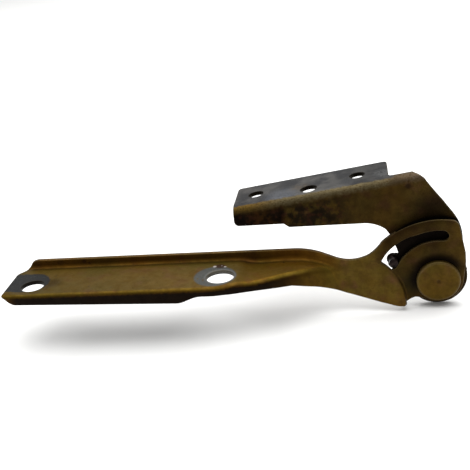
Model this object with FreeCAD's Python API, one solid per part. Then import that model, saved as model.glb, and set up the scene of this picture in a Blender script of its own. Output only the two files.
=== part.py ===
import FreeCAD, Part
import math
import os
from FreeCAD import Vector

# Stamped strap hinge for a bonnet or tailgate: a Z-section arm with two bolt holes, and a
# bracket with a three-hole top flange, turning on one shouldered rivet. A stop pin fixed in
# the bracket runs in a curved slot in the arm.
#
# Every shape is drawn in the pivot frame: X along the arm towards the pivot, Y along the
# pivot axis with the arm plate's front face at 0, Z up. The finished parts are then moved so
# that the origin is the centre of the arm's large bolt hole, on the seat face of the web.

SHEET = 2.5                    # both pressings are 2.5 mm sheet
PIVOT = Vector(118.5, 20.0, -14.9)

# Arm
ARM_LEFT = -240.8              # free end of the arm
WEB_TOP = 17.4                 # top face of the straight web
FLANGE_TOP = 22.0              # top edge of the far flange
NEAR_FACE = -34.0              # outer face of the near flange
NEAR_EDGE_R = 1.0              # rounding along the near bend
FAR_BEND_R = 2.0               # inner radius between web and far flange
FRONT_HOLE = (-226.1, -22.0)   # plan position of the hole near the free end
FRONT_HOLE_R = 6.75
REAR_HOLE = (-118.5, -20.0)
REAR_HOLE_R = 8.0
ARM_BOSS_R = 13.7              # eye around the pivot
SECTOR_R = 36.3                # outer radius of the slotted sector
RIM_WALL = 2.8                 # wall where the raised foot steps back to the sector

# Slot and stop pin, polar about the pivot
SLOT_INNER_R = 23.6
SLOT_OUTER_R = 30.4
SLOT_WIDE_R = 33.4             # the slot widens towards its lower end
SLOT_START_DEG = 84.3          # centre of the round end at full opening
SLOT_NARROW_DEG = 112.0
SLOT_END_DEG = 156.5           # centre of the round end at the closed stop
PIN_R = 2.5
PIN_ORBIT_R = 26.5
PIN_DEG = 155.0
PIN_FRONT = -0.6
PIN_TAIL_R = 3.6
PIN_TAIL = 1.2

# Bracket
BRACKET_FRONT = 3.0            # front face of the bracket plate
FLANGE_TILT = 7.96             # slope of the bolting flange, degrees
FLANGE_Z = 63.5                # height of the flange's top plane above the pivot, at X = 0
FLANGE_DEPTH = 32.5            # far edge of the flange
FLANGE_LEFT = -110.4
FLANGE_RIGHT = -25.0
LIP_RIGHT = -9.0
LIP_DEPTH = 8.5
BRACKET_BEND = 4.6             # outer bend radius
BRACKET_BOSS_R = 16.3
LOBE_R = 4.6                   # lug that carries the stop pin
FLANGE_HOLE_MID = -70.6        # X midway between the two outer holes
FLANGE_HOLE_SPACING = 58.0     # along the flange
FLANGE_HOLES = [(-FLANGE_HOLE_SPACING / 2, 18.2, 4.5), (1.8, 11.3, 4.9),
                (FLANGE_HOLE_SPACING / 2, 18.2, 4.5)]

# Pivot
SHANK_R = 6.0
HEAD_R = 12.0
HEAD_THICK = 3.1
HEAD_CHAMFER = 0.5
DIMPLE_R = 1.2
BUSH_CLEARANCE = 0.05
BUSH_WALL = 1.2
BUSH_FLANGE_R = 10.5
FACE_GAP = 0.05                # running clearance between faces that turn on each other
WASHER_R = 11.0
WASHER_THICK = 1.5
TAIL_R = 9.0
TAIL_THICK = 2.6

REACH = 60.0                   # how far cutting prisms run past the part


def front(u, v, y=0.0):
    """A point of the front view: u to the right, v up."""
    return Vector(u, y, v)


def plan(u, v, z=0.0):
    """A point of the plan view: u to the right, v away."""
    return Vector(u, v, z)


def polar(radius, degrees):
    angle = math.radians(degrees)
    return (radius * math.cos(angle), radius * math.sin(angle))


def path_edges(start, steps, place):
    """Edges from start through steps: (u, v) is a line, ((um, vm), (u, v)) an arc through its middle."""
    edges = []
    here = place(*start)
    for step in steps:
        if isinstance(step[0], tuple):
            there = place(*step[1])
            edges.append(Part.Arc(here, place(*step[0]), there).toShape())
        else:
            there = place(*step)
            edges.append(Part.LineSegment(here, there).toShape())
        here = there
    return edges


def closed_face(start, steps, place):
    edges = path_edges(start, steps + [start], place)
    return Part.Face(Part.Wire(edges))


def front_prism(start, steps, y_from, y_to):
    face = closed_face(start, steps, front)
    face.translate(Vector(0, y_from, 0))
    return face.extrude(Vector(0, y_to - y_from, 0))


def plan_prism(start, steps, z_from, z_to):
    face = closed_face(start, steps, plan)
    face.translate(Vector(0, 0, z_from))
    return face.extrude(Vector(0, 0, z_to - z_from))


def disc(radius, y_from, y_to, centre=(0.0, 0.0)):
    """A round slab on the pivot's axis direction."""
    return Part.makeCylinder(radius, y_to - y_from, front(*centre, y=y_from), Vector(0, 1, 0))


def spline(points):
    """A smooth curve through points that sets out along +X."""
    ahead = [Vector(1, 0, 0)] * len(points)
    held = [True] + [False] * (len(points) - 1)
    curve = Part.BSplineCurve()
    curve.interpolate(Points=points, Tangents=ahead, TangentFlags=held)
    return curve.toShape()


# ---------------------------------------------------------------- arm

# Height of the web's top face along the arm: flat under the bolts, a shallow step down behind
# the large hole, then a fall to the point where the web dies into the sector plate.
WEB_LINE = [(-109.5, 17.4), (-107.5, 17.2), (-104.5, 16.3), (-101.0, 15.6), (-92.0, 15.7),
            (-80.0, 16.1), (-71.0, 15.2), (-64.0, 13.1), (-57.0, 10.8), (-48.0, 11.0), (-36.0, 12.6)]

# The arm's front surface in plan. Each station is X, the distance in front of the sector plate
# at the height given next, that height, and the lean (forward travel per mm of drop).
SKIRT_STATIONS = [(-126.0, 34.0, 17.4, 0.0), (-118.0, 33.4, 17.2, 0.01), (-106.0, 28.2, 15.5, 0.03),
                  (-94.0, 23.0, 15.7, 0.07), (-82.0, 18.6, 16.0, 0.11), (-72.0, 14.0, 15.3, 0.15),
                  (-64.5, 8.0, 13.2, 0.18), (-57.0, 1.4, 10.8, 0.2), (-48.0, 0.1, 11.0, 0.2),
                  (-34.0, 0.0, 12.4, 0.2), (-14.0, 0.0, 12.4, 0.2)]


SKIRT_HIGH = 17.8              # just above the web
SKIRT_LOW = -16.0              # just below the foot


def web_profile(drop):
    """Everything below the web's top face, lowered by drop, as a prism in the front view."""
    line = [front(u, v - drop) for u, v in WEB_LINE]
    right = front(-10.0, WEB_LINE[-1][1] - drop)
    corner_right = front(-10.0, -REACH)
    corner_left = front(-260.0, -REACH)
    left = front(-260.0, WEB_TOP - drop)
    edges = [Part.LineSegment(left, line[0]).toShape(), spline(line),
             Part.LineSegment(line[-1], right).toShape(),
             Part.LineSegment(right, corner_right).toShape(),
             Part.LineSegment(corner_right, corner_left).toShape(),
             Part.LineSegment(corner_left, left).toShape()]
    face = Part.Face(Part.Wire(edges))
    face.translate(Vector(0, -REACH, 0))
    return face.extrude(Vector(0, 2 * REACH, 0))


def skirt_line(z, inset):
    """Plan points of the skirt's front surface at height z, moved inwards by inset. The first is
    still on the straight flange."""
    line = [(x, -(ahead + lean * (at - z))) for x, ahead, at, lean in SKIRT_STATIONS]
    moved = []
    for index, (x, y) in enumerate(line):
        before = line[max(index - 1, 0)]
        after = line[min(index + 1, len(line) - 1)]
        run = Vector(after[0] - before[0], after[1] - before[1], 0)
        if index == 0:
            run = Vector(1, 0, 0)
        run.normalize()
        moved.append(Vector(x - inset * run.y, y + inset * run.x, z))
    return moved


def skirt_wire(z, inset, left, back):
    """Closed plan wire at height z: the skirt's front line, then round behind it."""
    line = skirt_line(z, inset)
    start = Vector(left, NEAR_FACE + inset, z)
    right = Vector(line[-1].x, back, z)
    slant = Vector(left + 4.0, back, z)
    shoulder = Vector(left, back - 10.0, z)
    edges = [Part.LineSegment(start, line[0]).toShape(), spline(line),
             Part.LineSegment(line[-1], right).toShape(),
             Part.LineSegment(right, slant).toShape(),
             Part.LineSegment(slant, shoulder).toShape(),
             Part.LineSegment(shoulder, start).toShape()]
    return Part.Wire(edges)


def skirt_block(inset, left, back):
    """The solid behind the skirt's front surface."""
    wires = [skirt_wire(SKIRT_HIGH, inset, left, back), skirt_wire(SKIRT_LOW, inset, left, back)]
    return Part.makeLoft(wires, True, True)


def skirt_outline():
    """Front view of the near flange and the foot: the lower edge, and the rim on the right."""
    start = (ARM_LEFT - 1.0, 40.0)
    steps = [(ARM_LEFT - 1.0, 12.4), (-142.5, 9.6),
             ((-139.0, 9.9), (-136.5, 10.8)), (-133.5, 11.9), ((-130.5, 12.8), (-126.0, 13.1)),
             (-116.0, 12.9), ((-97.0, 10.6), (-80.0, 9.6)), ((-70.0, 6.3), (-61.0, 1.6)),
             (-23.5, -12.9), ((-20.3, -13.2), (-18.6, -10.8)),
             ((-19.4, -1.8), (-24.3, 6.0)), (-33.7, 12.0), (-37.0, 14.0), (-37.0, 40.0)]
    return front_prism(start, steps, -REACH, REACH)


def free_corner():
    """What is trimmed off the near flange's lower corner at the free end."""
    start = (ARM_LEFT - 1.0, 15.4)
    steps = [(ARM_LEFT + 1.3, 15.4), ((ARM_LEFT + 3.6, 13.1), (-233.0, 11.8)), (-233.0, 5.0),
             (ARM_LEFT - 1.0, 5.0)]
    return front_prism(start, steps, -REACH, NEAR_FACE + SHEET + 0.2)


def hollow_outline():
    """Front view of the space behind the foot, one wall inside the rim."""
    start = (-260.0, 40.0)
    steps = [(-260.0, -40.0), (-18.6 - RIM_WALL, -40.0), (-18.6 - RIM_WALL, -9.5),
             ((-22.2, -2.5), (-26.3, 3.6)), (-35.0, 9.2), (-41.0, 10.0), (-41.0, 40.0)]
    return front_prism(start, steps, -REACH, REACH)


def sector_plate():
    """Far flange and slotted sector, one flat plate."""
    ring_left = polar(37.7, 141.6)
    ring_middle = polar(36.7, 122.0)
    ring_right = polar(SECTOR_R, 100.0)
    start = (-236.8, 14.9)
    steps = [(-233.8, 20.6), ((-232.7, 21.6), (-231.0, FLANGE_TOP)), (-80.0, 21.7),
             ((-71.5, 21.0), (-63.5, 18.5)), (-56.5, 15.4), ((-46.8, 13.5), (-37.0, 16.0)),
             ((-32.9, 19.3), ring_left), (ring_middle, ring_right),
             (polar(SECTOR_R, 89.0), polar(SECTOR_R, 79.0)), ((9.0, 34.4), (10.5, 31.8)),
             (13.9, 16.2), (14.2, 10.0), (ARM_BOSS_R, 0.0),
             (polar(ARM_BOSS_R, -60.0), polar(ARM_BOSS_R, -118.0)),
             ((-9.4, -10.6), (-12.8, -10.2)), (-18.6 - RIM_WALL, -12.6),
             (-18.6 - RIM_WALL, -9.5), ((-22.2, -2.5), (-26.3, 3.6)), (-35.0, 9.2),
             (-46.0, 8.8), (-57.0, 8.9), (-64.0, 11.2), (-71.0, 13.2), (-80.0, 14.0),
             (-101.0, 13.6), (-104.5, 14.3), (-108.0, 14.9)]
    return front_prism(start, steps, 0.0, SHEET)


def slot_prism():
    """The stop pin's slot: a banana that widens from its upper to its lower end."""
    narrow_mid = (SLOT_INNER_R + SLOT_OUTER_R) / 2
    wide_mid = (SLOT_INNER_R + SLOT_WIDE_R) / 2
    narrow_cap = (SLOT_OUTER_R - SLOT_INNER_R) / 2 / narrow_mid
    wide_cap = (SLOT_WIDE_R - SLOT_INNER_R) / 2 / wide_mid
    tip_start = polar(narrow_mid, SLOT_START_DEG - math.degrees(narrow_cap))
    tip_end = polar(wide_mid, SLOT_END_DEG + math.degrees(wide_cap))
    middle_deg = (SLOT_START_DEG + SLOT_END_DEG) / 2
    widening_deg = (SLOT_NARROW_DEG + SLOT_END_DEG) / 2
    widening_r = (SLOT_OUTER_R + SLOT_WIDE_R) / 2 + 0.4
    start = polar(SLOT_INNER_R, SLOT_START_DEG)
    steps = [(tip_start, polar(SLOT_OUTER_R, SLOT_START_DEG)),
             (polar(SLOT_OUTER_R, (SLOT_START_DEG + SLOT_NARROW_DEG) / 2), polar(SLOT_OUTER_R, SLOT_NARROW_DEG)),
             (polar(widening_r, widening_deg), polar(SLOT_WIDE_R, SLOT_END_DEG)),
             (tip_end, polar(SLOT_INNER_R, SLOT_END_DEG))]
    edges = path_edges(start, steps, front)
    back = Part.Arc(front(*polar(SLOT_INNER_R, SLOT_END_DEG)), front(*polar(SLOT_INNER_R, middle_deg)),
                    front(*start)).toShape()
    face = Part.Face(Part.Wire(edges + [back]))
    face.translate(Vector(0, -REACH, 0))
    return face.extrude(Vector(0, 2 * REACH, 0))


def bend_edge(shape, y):
    """The long straight edge at depth y, level with the web's top face."""
    return [edge for edge in shape.Edges if edge.Length > 50.0
            and all(abs(v.Z - WEB_TOP) < 0.01 and abs(v.Y - y) < 0.01 for v in edge.Vertexes)]


def hinge_arm():
    outer = skirt_block(0.0, ARM_LEFT, SHEET * 0.7).common(web_profile(0.0)).common(skirt_outline())
    inner = skirt_block(SHEET, ARM_LEFT - 20.0, REACH).common(web_profile(SHEET)).common(hollow_outline())
    arm = outer.cut(inner).fuse(sector_plate()).removeSplitter()
    arm = arm.cut(free_corner()).cut(slot_prism()).cut(disc(SHANK_R, -REACH, REACH))
    for (u, v), radius in ((FRONT_HOLE, FRONT_HOLE_R), (REAR_HOLE, REAR_HOLE_R)):
        arm = arm.cut(Part.makeCylinder(radius, REACH, plan(u, v, 0.0), Vector(0, 0, 1)))
    arm = arm.makeFillet(FAR_BEND_R, bend_edge(arm, 0.0))
    return arm.makeFillet(NEAR_EDGE_R, bend_edge(arm, NEAR_FACE))


# ---------------------------------------------------------------- bracket

def l_section():
    """Sheet bent to an L and drawn out along the flange's slope."""
    inner = BRACKET_BEND - SHEET
    back = FLANGE_DEPTH + 5.0
    fore = BRACKET_FRONT
    diagonal = math.sqrt(0.5)

    def section(across, up):
        return Vector(0, across, up)

    start = (fore, -REACH * 2)
    steps = [(fore, -BRACKET_BEND),
             ((fore + BRACKET_BEND * (1 - diagonal), -BRACKET_BEND * (1 - diagonal)), (fore + BRACKET_BEND, 0.0)),
             (back, 0.0), (back, -SHEET), (fore + BRACKET_BEND, -SHEET),
             ((fore + BRACKET_BEND - inner * diagonal, -BRACKET_BEND + inner * diagonal),
              (fore + SHEET, -BRACKET_BEND)),
             (fore + SHEET, -REACH * 2)]
    face = closed_face(start, steps, section)
    face.translate(Vector(-REACH * 3, 0, 0))
    bar = face.extrude(Vector(REACH * 5, 0, 0))
    bar.rotate(Vector(0, 0, 0), Vector(0, 1, 0), -FLANGE_TILT)
    bar.translate(Vector(0, 0, FLANGE_Z))
    return bar


def bracket_outline():
    """Front view of the bracket, open above the flange."""
    boss_left = polar(BRACKET_BOSS_R, 168.0)
    boss_right = polar(BRACKET_BOSS_R, 22.0)
    start = (FLANGE_LEFT, 90.0)
    steps = [(FLANGE_LEFT, 39.6), ((-109.7, 37.9), (-108.0, 37.3)), (-83.2, 37.4), (-80.2, 35.2),
             (-40.0, 35.3), ((-32.6, 34.0), (-27.4, 30.8)), (-24.6, 26.4), (-21.6, 18.4),
             polar(PIN_ORBIT_R - 4.0, 151.0), polar(PIN_ORBIT_R - 8.0, 158.0), boss_left,
             (polar(BRACKET_BOSS_R, -80.0), boss_right), ((14.5, 8.2), (14.2, 11.0)),
             (12.6, 21.0), ((11.2, 30.4), (7.2, 38.0)), (-7.6, 58.6),
             ((-10.4, 61.6), (-13.5, 64.0)), (-13.5, 90.0)]
    return front_prism(start, steps, 0.0, REACH)


def flange_plan():
    """Plan view of the bracket: the bolting flange, then the short lip beside it."""
    corner = 2.5
    edge = corner * (1 - math.sqrt(0.5))
    start = (-130.0, 0.0)
    steps = [(-130.0, FLANGE_DEPTH - 20.0), (FLANGE_LEFT, FLANGE_DEPTH - 20.0),
             (FLANGE_LEFT, FLANGE_DEPTH - corner),
             ((FLANGE_LEFT + edge, FLANGE_DEPTH - edge), (FLANGE_LEFT + corner, FLANGE_DEPTH)),
             (FLANGE_RIGHT - corner, FLANGE_DEPTH),
             ((FLANGE_RIGHT - edge, FLANGE_DEPTH - edge), (FLANGE_RIGHT, FLANGE_DEPTH - corner)),
             (FLANGE_RIGHT, LIP_DEPTH + 2.0),
             ((FLANGE_RIGHT + 0.6, LIP_DEPTH + 0.6), (FLANGE_RIGHT + 2.0, LIP_DEPTH)),
             (LIP_RIGHT - 4.0, LIP_DEPTH), ((LIP_RIGHT - 0.8, LIP_DEPTH - 1.0), (LIP_RIGHT, LIP_DEPTH - 3.0)),
             (REACH, LIP_DEPTH - 3.0), (REACH, 0.0)]
    return plan_prism(start, steps, -REACH, 2 * REACH)


def flange_axis():
    """Unit normal of the bolting flange."""
    tilt = math.radians(FLANGE_TILT)
    return Vector(-math.sin(tilt), 0, math.cos(tilt))


def flange_point(along, v):
    """A point of the flange's top face, measured along its slope from the middle of the holes."""
    tilt = math.radians(FLANGE_TILT)
    u = FLANGE_HOLE_MID + along * math.cos(tilt)
    return Vector(u, v, FLANGE_Z + u * math.tan(tilt))


def hinge_bracket():
    bracket = l_section().common(bracket_outline()).common(flange_plan())
    lobe = disc(LOBE_R, BRACKET_FRONT, BRACKET_FRONT + SHEET, polar(PIN_ORBIT_R - 1.6, PIN_DEG))
    bracket = bracket.fuse(lobe).removeSplitter()
    for along, v, radius in FLANGE_HOLES:
        base = flange_point(along, v) - flange_axis() * 10.0
        bracket = bracket.cut(Part.makeCylinder(radius, 20.0, base, flange_axis()))
    bore = SHANK_R + BUSH_CLEARANCE + BUSH_WALL
    bracket = bracket.cut(disc(bore, 0.0, REACH))
    return bracket.cut(disc(PIN_R, 0.0, REACH, polar(PIN_ORBIT_R, PIN_DEG)))


# ---------------------------------------------------------------- pivot and stop

def turned(profile):
    """A solid of revolution about the pivot axis from (radius, y) corners."""
    points = [Vector(radius, y, 0) for radius, y in profile]
    face = Part.Face(Part.makePolygon(points + [points[0]]))
    return face.revolve(Vector(0, 0, 0), Vector(0, 1, 0), 360)


def pivot_rivet():
    back = BRACKET_FRONT + SHEET + FACE_GAP + WASHER_THICK
    head = -HEAD_THICK
    return turned([(0.0, head + DIMPLE_R / 2), (DIMPLE_R, head), (HEAD_R - HEAD_CHAMFER, head),
                   (HEAD_R, head + HEAD_CHAMFER), (HEAD_R, 0.0), (SHANK_R, 0.0), (SHANK_R, back),
                   (TAIL_R, back), (TAIL_R - 0.4, back + TAIL_THICK * 0.5),
                   (TAIL_R * 0.6, back + TAIL_THICK), (0.0, back + TAIL_THICK)])


def pivot_bush():
    inner = SHANK_R + BUSH_CLEARANCE
    outer = inner + BUSH_WALL
    face = SHEET + FACE_GAP
    back = BRACKET_FRONT + SHEET
    return turned([(inner, face), (BUSH_FLANGE_R, face), (BUSH_FLANGE_R, BRACKET_FRONT),
                   (outer, BRACKET_FRONT), (outer, back), (inner, back)])


def tail_washer():
    face = BRACKET_FRONT + SHEET + FACE_GAP
    return turned([(SHANK_R, face), (WASHER_R, face), (WASHER_R, face + WASHER_THICK),
                   (SHANK_R, face + WASHER_THICK)])


def stop_pin():
    back = BRACKET_FRONT + SHEET
    dome = 0.5
    pin = turned([(0.0, PIN_FRONT - dome), (PIN_R * 0.6, PIN_FRONT - dome * 0.7), (PIN_R, PIN_FRONT + dome),
                  (PIN_R, back), (PIN_TAIL_R, back), (PIN_TAIL_R * 0.7, back + PIN_TAIL),
                  (0.0, back + PIN_TAIL)])
    pin.translate(front(*polar(PIN_ORBIT_R, PIN_DEG)))
    return pin


PARTS = {
    "hinge_arm": hinge_arm,
    "hinge_bracket": hinge_bracket,
    "pivot_rivet": pivot_rivet,
    "pivot_bush": pivot_bush,
    "tail_washer": tail_washer,
    "stop_pin": stop_pin,
}

os.makedirs("parts", exist_ok=True)
for name, make in PARTS.items():
    shape = make()
    solid = shape.Solids[0]
    solid.translate(PIVOT)
    solid.exportStep("parts/" + name + ".step")
    print(name, len(shape.Solids), solid.isValid(), round(solid.Volume, 1))
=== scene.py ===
# %% [markdown]
# # A pressed lid hinge round its CAD solids
#
# The object is a vehicle lid hinge: a long arm pressed from sheet steel, a bracket with a bolting
# flange, and the one rivet that they turn on. The CAD solids already give every size. This script
# gives the same pieces their looks: the soft bends of a press tool, the rolled cut edges, and
# the yellow zinc plating with its wear.
#
# The frame is loaded first, because every later number hangs on it. Its box is kept and printed, and the
# floor is later laid under its lowest point.

import math

import bpy
import numpy as np
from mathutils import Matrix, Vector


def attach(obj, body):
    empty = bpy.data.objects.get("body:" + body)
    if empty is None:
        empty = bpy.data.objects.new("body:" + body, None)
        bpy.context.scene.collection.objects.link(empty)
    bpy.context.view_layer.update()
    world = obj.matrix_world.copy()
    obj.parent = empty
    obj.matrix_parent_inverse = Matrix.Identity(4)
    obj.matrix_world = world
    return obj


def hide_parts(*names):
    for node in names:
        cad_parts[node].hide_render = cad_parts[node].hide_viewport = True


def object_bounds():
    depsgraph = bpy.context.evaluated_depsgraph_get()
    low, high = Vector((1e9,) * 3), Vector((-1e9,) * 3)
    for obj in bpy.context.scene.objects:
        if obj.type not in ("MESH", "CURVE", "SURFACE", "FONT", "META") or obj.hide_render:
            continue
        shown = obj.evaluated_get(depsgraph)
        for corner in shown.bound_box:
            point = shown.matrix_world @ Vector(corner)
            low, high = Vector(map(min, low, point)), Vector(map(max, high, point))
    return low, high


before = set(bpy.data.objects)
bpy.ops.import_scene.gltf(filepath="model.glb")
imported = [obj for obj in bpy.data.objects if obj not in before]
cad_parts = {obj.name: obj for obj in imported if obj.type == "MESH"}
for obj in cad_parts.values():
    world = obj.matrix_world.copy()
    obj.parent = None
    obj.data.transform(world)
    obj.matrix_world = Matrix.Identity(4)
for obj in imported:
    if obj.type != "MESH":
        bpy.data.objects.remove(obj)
cad_low, cad_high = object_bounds()
print("CAD box", [round(1000 * v, 1) for v in (*cad_low, *cad_high)])

# %% [markdown]
# ## The pivot frame
#
# A hinge is drawn from its pivot: X runs along the arm towards the pivot, Y along the rivet and
# away from its head, Z up. The numbers below are millimetres in that frame, as on a drawing, and
# `placed` turns them into the frame's metres in one step.

# %% Sizes and the pivot frame
PIVOT = np.array([118.5, 20.0, -14.9])     # the pivot, seen from the frame's origin
SHEET = 2.5                                # thickness of both pressings
EDGE_ROLL = 0.45                           # radius a punch leaves along a cut edge
ROLL_STEPS = 3                             # faces across that radius
BURR = 0.35                                # how much fuller than the solid most cut edges are drawn
MM = 0.001
ROOT2 = math.sqrt(2.0)


def placed(points):
    """Pivot-frame millimetres to the frame's metres: add the pivot's place, then scale."""
    return (np.asarray(points) + PIVOT) * MM


def polar(radius, degrees):
    """A point of the front view at a radius and angle about the pivot."""
    turn = math.radians(degrees)
    return (radius * math.cos(turn), radius * math.sin(turn))


print("pivot in the frame, m:", placed([0.0, 0.0, 0.0]).round(4))

# %% [markdown]
# ## Outlines
#
# A press tool cuts a blank along straight lines and arcs. An outline is written the same way, as
# a start and steps, and becomes a dense ring of points. The distance from any point to that ring,
# negative inside, then says where metal ends. A Boolean cutter would do this too, but it leaves
# long thin faces that shade badly on a bent sheet.

# %% Outlines and their signed distance
ARC_POINTS = 24                            # points along every arc
CHUNK = 4096                               # points measured at once, to save memory


def arc_points(start, middle, end):
    """Points from start to end on the circle through all three. The centre is where the
    perpendicular bisectors of the two chords meet."""
    a, b, c = (np.array(point, float) for point in (start, middle, end))
    chords = np.array([b - a, c - a])
    centre = a + np.linalg.solve(chords, (chords ** 2).sum(1) / 2)
    angles = [math.atan2(*(point - centre)[::-1]) for point in (a, b, c)]
    sweep = (angles[2] - angles[0]) % (2 * math.pi)
    if (angles[1] - angles[0]) % (2 * math.pi) > sweep:
        sweep -= 2 * math.pi
    turn = angles[0] + sweep * np.linspace(0, 1, ARC_POINTS)[1:]
    radius = np.linalg.norm(a - centre)
    return centre + radius * np.stack([np.cos(turn), np.sin(turn)], 1)


def outline(start, steps):
    """A ring of points: a step (u, v) is a straight cut, a step (middle, end) is an arc."""
    pieces = [np.array([start], float)]
    for step in steps:
        here = pieces[-1][-1]
        curved = isinstance(step[0], tuple)
        pieces.append(arc_points(here, *step) if curved else np.array([step], float))
    return np.concatenate(pieces)


def depth_in(u, v, ring):
    """Signed distance to a closed ring, negative inside. Each point is dropped onto every edge at
    once and the nearest foot is kept; an odd count of edges crossed to the right means inside."""
    a, b = ring, np.roll(ring, -1, 0)
    keep = np.linalg.norm(b - a, axis=1) > 1e-9
    a, b = a[keep], b[keep]
    run = b - a
    result = np.empty(u.size)
    flat = np.stack([u.ravel(), v.ravel()], 1)
    for first in range(0, u.size, CHUNK):
        point = flat[first:first + CHUNK, None, :]
        along = ((point - a) * run).sum(2) / (run ** 2).sum(1)
        foot = a + np.clip(along, 0, 1)[..., None] * run
        nearest = np.sqrt(((point - foot) ** 2).sum(2).min(1))
        above = (a[:, 1] > point[..., 1]) != (b[:, 1] > point[..., 1])
        rise = np.where(np.abs(run[:, 1]) < 1e-12, 1e-12, run[:, 1])
        crossing = a[:, 0] + (point[..., 1] - a[:, 1]) * run[:, 0] / rise
        inside = (above & (point[..., 0] < crossing)).sum(1) % 2 == 1
        result[first:first + CHUNK] = np.where(inside, -nearest, nearest)
    return result.reshape(u.shape)


unit_square = outline((0.0, 0.0), [(1.0, 0.0), (1.0, 1.0), (0.0, 1.0)])
print("middle of a unit square:", depth_in(np.array([0.5]), np.array([0.5]), unit_square))

# %% [markdown]
# ## Smooth curves through a few stations
#
# Heights and widths change gently along a pressing. A natural cubic spline through a few stations
# keeps slope and curvature continuous, so the light runs over the metal with no visible joint.

# %% Natural cubic spline and soft steps
def spline(knots, values):
    """A function of x through all stations: one cubic per gap, with equal slope and curvature
    where two gaps meet, and no curvature at both ends."""
    x, y = np.array(knots, float), np.array(values, float)
    gap, slope = np.diff(x), np.diff(y) / np.diff(x)
    system = np.eye(len(x))
    right = np.zeros(len(x))
    rows = np.arange(1, len(x) - 1)
    system[rows, rows - 1] = gap[:-1]
    system[rows, rows] = 2 * (gap[:-1] + gap[1:])
    system[rows, rows + 1] = gap[1:]
    right[rows] = 6 * np.diff(slope)
    bend = np.linalg.solve(system, right)

    def curve(at):
        at = np.asarray(at, float)
        i = np.clip(np.searchsorted(x, at) - 1, 0, len(x) - 2)
        step = np.clip(at, x[0], x[-1]) - x[i]
        first = slope[i] - gap[i] * (2 * bend[i] + bend[i + 1]) / 6
        cubic = (bend[i + 1] - bend[i]) / (6 * gap[i])
        inside = y[i] + step * (first + step * (bend[i] / 2 + step * cubic))
        end = slope[-1] + gap[-1] * (bend[-2] + 2 * bend[-1]) / 6
        start = slope[0] - gap[0] * (2 * bend[0] + bend[1]) / 6
        past_end = np.where(at > x[-1], (at - x[-1]) * end, 0)
        return inside + past_end + np.where(at < x[0], (at - x[0]) * start, 0)

    return curve


def soft_step(value, low, high):
    """0 below low, 1 above high, and a cubic S between them."""
    t = np.clip((value - low) / (high - low), 0, 1)
    return t * t * (3 - 2 * t)


def slope_of(curve, at):
    """Slope of a curve, from two points a tenth of a millimetre apart."""
    return (curve(at + 0.05) - curve(at - 0.05)) / 0.1


print("half way up a soft step:", float(soft_step(0.5, 0.0, 1.0)))

# %% [markdown]
# ## Bending metal with rounded joins
#
# A bent sheet is two flat faces and a radius. Written as distances, an outside bend is the
# overlap of two half spaces and an inside bend is their union. The rounded forms below replace
# the sharp line by a circular arc, which is what a bend is.

# %% Rounded overlap and union
REACH = 140.0                              # half the longest diagonal that is searched
HALVINGS = 36


def outside_bend(d1, d2, radius):
    """Overlap of two half spaces: inside the corner square the distance is measured from the
    centre of the bend, elsewhere it is the larger of the two."""
    corner = np.hypot(np.maximum(radius + d1, 0), np.maximum(radius + d2, 0))
    return np.minimum(-radius, np.maximum(d1, d2)) + corner


def inside_bend(d1, d2, radius):
    """Union of two half spaces with the valley filled by an arc of the radius."""
    corner = np.hypot(np.maximum(radius - d1, 0), np.maximum(radius - d2, 0))
    return np.maximum(radius, np.minimum(d1, d2)) - corner


def on_diagonal(field, along, across):
    """The point of a bent sheet at a distance along the bend and a developed distance across it.
    Every section of these pressings only ever steps forwards or down, so each diagonal line
    forward - height = across meets the sheet once, and halving the interval finds it."""
    low, high = np.full(across.shape, -REACH), np.full(across.shape, REACH)
    for _ in range(HALVINGS):
        middle = (low + high) / 2
        in_metal = field(along, (middle + across) / 2, (middle - across) / 2) < 0
        low, high = np.where(in_metal, middle, low), np.where(in_metal, high, middle)
    middle = (low + high) / 2
    return (middle + across) / 2, (middle - across) / 2


print("outside bend, at its sharp corner:", round(float(outside_bend(0.0, 0.0, 1.0)), 3))

# %% [markdown]
# ## One maker for both pressings
#
# Both pressings are the same job: a grid of two parameters is laid on the bent face, trimmed to
# its outline, given its thickness, and closed with a rolled edge. The grid points nearest the
# outline are slid onto it, so a hole is round without thousands of points. Solidify and Bevel
# could do the last two steps, but a bevel on so fine a grid folds over itself, so the edge is
# worked out as a profile carried round the outline.

# %% A bent sheet and its axes
NORMAL_STEP = 0.02                         # distance over which the field's rise is measured


class Pressing:
    """A bent sheet: its field, and the three axes along, forward and up in the pivot frame."""

    def __init__(self, field, cut, axes, origin):
        self.field, self.cut = field, cut
        self.axes, self.origin = np.array(axes, float), np.array(origin, float)

    def point(self, u, v):
        """Pivot-frame points of the front face for parameters u and v."""
        forward, up = on_diagonal(self.field, u, v)
        local = np.stack([u, forward, up], -1)
        return local @ self.axes + self.origin, local

    def spare(self, u, v):
        """How far each point is outside the front face's rim, which lies one roll radius in."""
        xyz, local = self.point(u, v)
        return self.cut(xyz, local) + EDGE_ROLL

    def outwards(self, local):
        """Unit normals: the field's steepest rise, by small differences along each axis."""
        rise = []
        for axis in range(3):
            shift = np.zeros(3)
            shift[axis] = NORMAL_STEP
            ahead, behind = np.moveaxis(local + shift, -1, 0), np.moveaxis(local - shift, -1, 0)
            rise.append(self.field(*ahead) - self.field(*behind))
        normal = np.stack(rise, -1) @ self.axes
        return normal / np.linalg.norm(normal, axis=-1, keepdims=True)


flat_sheet = Pressing(lambda x, forward, up: up, None, np.eye(3), (0, 0, 0))
print("a flat sheet's normal:", flat_sheet.outwards(np.zeros((1, 3))))

# %% [markdown]
# A straight grid leaves steps along a curved cut. The points beside the cut are slid onto it,
# and the faces beyond it are dropped, so the rim is smooth while the inside stays even.

# %% Slide the grid to the rim and keep the inside
PROBE = 0.04                               # distance over which the rim's slope is measured
LONGEST_SLIDE = 0.4                        # most that a point moves in one round
SLIDES = 5


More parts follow.
